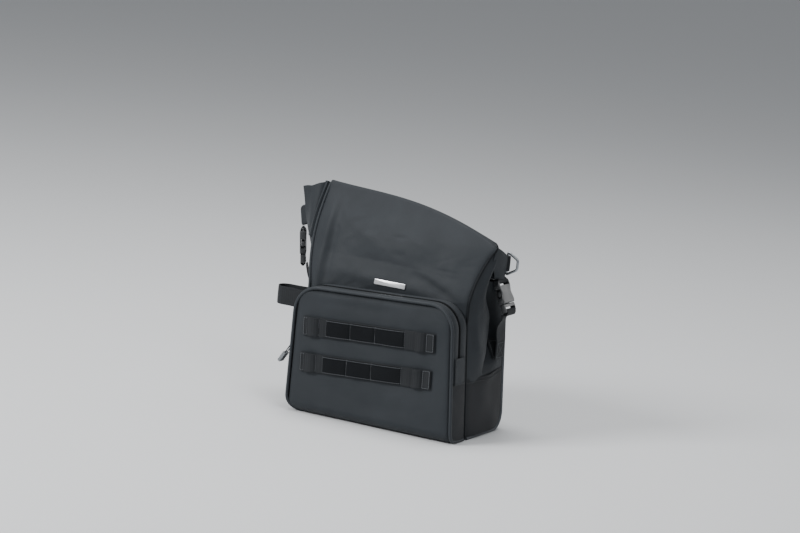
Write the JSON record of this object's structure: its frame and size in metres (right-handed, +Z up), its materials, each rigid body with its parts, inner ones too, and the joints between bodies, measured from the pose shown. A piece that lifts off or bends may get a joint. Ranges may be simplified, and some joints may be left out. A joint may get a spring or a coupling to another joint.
{
  "type": "saddle bag",
  "caption": "Roll-top motorcycle saddle bag with a zipped front pocket, webbing rows, side-release side straps, mounting loops and a blank name plate.",
  "frame": {"origin": "centre of the footprint, on the underside of the base", "axes": "+Z up; +Y towards the machine, so the pocket faces -Y; +X towards the low end of the ridge"},
  "size_m": [0.334, 0.1582, 0.302],
  "materials": {
    "shell_fabric": "matte charcoal coated nylon",
    "band_fabric": "matte coarse charcoal nylon",
    "piping": "covered piping, slightly shiny",
    "webbing": "woven webbing",
    "hook_fabric": "black fuzzy hook-and-loop",
    "board": "plain sheet",
    "zip_tape": "woven tape",
    "moulding": "satin moulded",
    "gunmetal": "gunmetal",
    "plate": "brushed, blank",
    "rubber": "matte light grey",
    "cord": "braided"
  },
  "bodies": {
    "shell": {"pocket_back_panel": "shell_fabric", "front_panel": "shell_fabric", "back_panel": "shell_fabric", "base_panel": "band_fabric", "base_board": "board", "back_board": "board", "gusset_tall_end": "shell_fabric", "gusset_low_end": "shell_fabric", "gusset_ear": "shell_fabric", "side_band_tall_end": "band_fabric", "side_band_low_end": "band_fabric", "back_band": "band_fabric", "front_piping_tall_end": "piping", "back_piping_tall_end": "piping", "front_piping_low_end": "piping", "back_piping_low_end": "piping", "buckle_link_low_end": "webbing", "buckle_housing_low_end": "moulding", "buckle_link_tall_end": "webbing", "buckle_housing_tall_end": "moulding", "side_strap_low_end": "webbing", "side_strap_tall_end": "webbing", "strap_anchor_low_end": "webbing", "strap_anchor_tall_end": "webbing", "pocket_front_lower": "shell_fabric", "pocket_piping_tall_end": "piping", "pocket_piping_low_end": "piping", "pocket_gusset_tall_end": "shell_fabric", "pocket_gusset_low_end": "shell_fabric", "zip_tape_rear": "zip_tape", "zip_chain": "moulding", "name_plate": "plate", "mount_loop": "webbing", "back_loop_tall_end": "webbing", "back_loop_low_end": "webbing"},
    "roll": {"rolled_top": "shell_fabric", "mouth_strip": "moulding", "closure_tab_low_end": "webbing", "closure_tab_tall_end": "webbing", "ring_tab": "webbing"},
    "ring": {"side_ring": "gunmetal"},
    "pocket_door": {"pocket_front_upper": "shell_fabric", "pocket_piping_upper": "piping", "zip_tape_front": "zip_tape", "webbing_row_upper": "webbing", "hook_patch_upper": "hook_fabric", "webbing_row_lower": "webbing", "hook_patch_lower": "hook_fabric"},
    "zip_slider": {"zip_slider": "gunmetal"},
    "puller": {"pull_cord": "cord", "pull_tab": "rubber"},
    "stem_low_end": {"buckle_stem_low_end": "moulding", "strap_fold_low_end": "webbing"},
    "stem_tall_end": {"buckle_stem_tall_end": "moulding", "strap_fold_tall_end": "webbing"},
    "arm_front_low_end": {"latch_arm_front_low_end": "moulding"},
    "arm_rear_low_end": {"latch_arm_rear_low_end": "moulding"},
    "arm_front_tall_end": {"latch_arm_front_tall_end": "moulding"},
    "arm_rear_tall_end": {"latch_arm_rear_tall_end": "moulding"}
  },
  "joints": [
    {"name": "roll_unroll", "type": "hinge", "parent": "shell", "child": "roll", "pos_m": [0, 0.0053, 0.2924], "axis": [0.9838, 0, -0.1792], "range_deg": [0, 150]},
    {"name": "ring_swing", "type": "hinge", "parent": "roll", "child": "ring", "pos_m": [0.1248, 0.0387, 0.229], "axis": [0, 0, 1], "range_deg": [-50, 50]},
    {"name": "pocket_open", "type": "hinge", "parent": "shell", "child": "pocket_door", "pos_m": [0, -0.0762, 0.052], "axis": [1, 0, 0], "range_deg": [0, 60]},
    {"name": "zip_slide", "type": "slide", "parent": "shell", "child": "zip_slider", "axis": [0, 0, 1], "range_m": [0, 0.042]},
    {"name": "puller_swing", "type": "hinge", "parent": "zip_slider", "child": "puller", "pos_m": [-0.1317, -0.055, 0.088], "axis": [0, 1, 0], "range_deg": [-28, 100]},
    {"name": "buckle_release_low_end", "type": "slide", "parent": "shell", "child": "stem_low_end", "axis": [0.4067, 0, -0.9135], "range_m": [0, 0.024]},
    {"name": "latch_front_low_end", "type": "hinge", "parent": "stem_low_end", "child": "arm_front_low_end", "pos_m": [0.1337, 0.0199, 0.17904], "axis": [-0.9135, 0, -0.4067], "range_deg": [0, 7], "stiffness_Nm_per_rad": 0.02},
    {"name": "latch_rear_low_end", "type": "hinge", "parent": "stem_low_end", "child": "arm_rear_low_end", "pos_m": [0.1337, 0.0421, 0.17904], "axis": [0.9135, 0, 0.4067], "range_deg": [0, 7], "stiffness_Nm_per_rad": 0.02},
    {"name": "buckle_release_tall_end", "type": "slide", "parent": "shell", "child": "stem_tall_end", "axis": [0.108, 0, -0.9942], "range_m": [0, 0.024]},
    {"name": "latch_front_tall_end", "type": "hinge", "parent": "stem_tall_end", "child": "arm_front_tall_end", "pos_m": [-0.1725, 0.02071, 0.19414], "axis": [-0.8766, -0.4716, -0.0952], "range_deg": [0, 7], "stiffness_Nm_per_rad": 0.02},
    {"name": "latch_rear_tall_end", "type": "hinge", "parent": "stem_tall_end", "child": "arm_rear_tall_end", "pos_m": [-0.18291, 0.04029, 0.19301], "axis": [0.8766, 0.4716, 0.0952], "range_deg": [0, 7], "stiffness_Nm_per_rad": 0.02}
  ],
  "couplings": [
    {"joint": "latch_rear_low_end", "follows": "latch_front_low_end", "ratio": 1},
    {"joint": "latch_rear_tall_end", "follows": "latch_front_tall_end", "ratio": 1}
  ]
}
